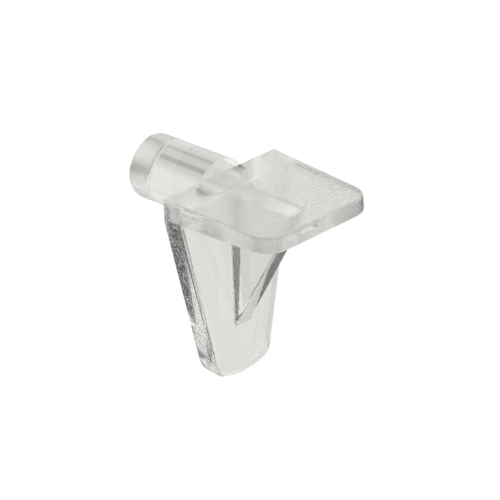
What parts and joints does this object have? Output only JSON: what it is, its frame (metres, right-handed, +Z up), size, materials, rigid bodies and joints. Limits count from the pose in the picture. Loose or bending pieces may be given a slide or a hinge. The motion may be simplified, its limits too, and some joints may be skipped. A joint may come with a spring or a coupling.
{
  "type": "shelf support pin",
  "caption": "Clear plastic shelf support: a round pin for a cabinet side, a flat plate that carries the shelf, and a tapered leg with a thin gusset that bears on the wall.",
  "frame": {"origin": "on the pin's axis in the wall plane, where the pin leaves the back of the leg", "axes": "+Y runs along the pin into the cabinet side, +Z is up, X runs across the plate; the plate reaches out towards -Y"},
  "size_m": [0.0116, 0.0174, 0.0171],
  "materials": {
    "clear_plastic": "clear moulded polycarbonate, glossy with grained side faces"
  },
  "bodies": {
    "root": {"shelf_support": "clear_plastic"}
  },
  "joints": []
}
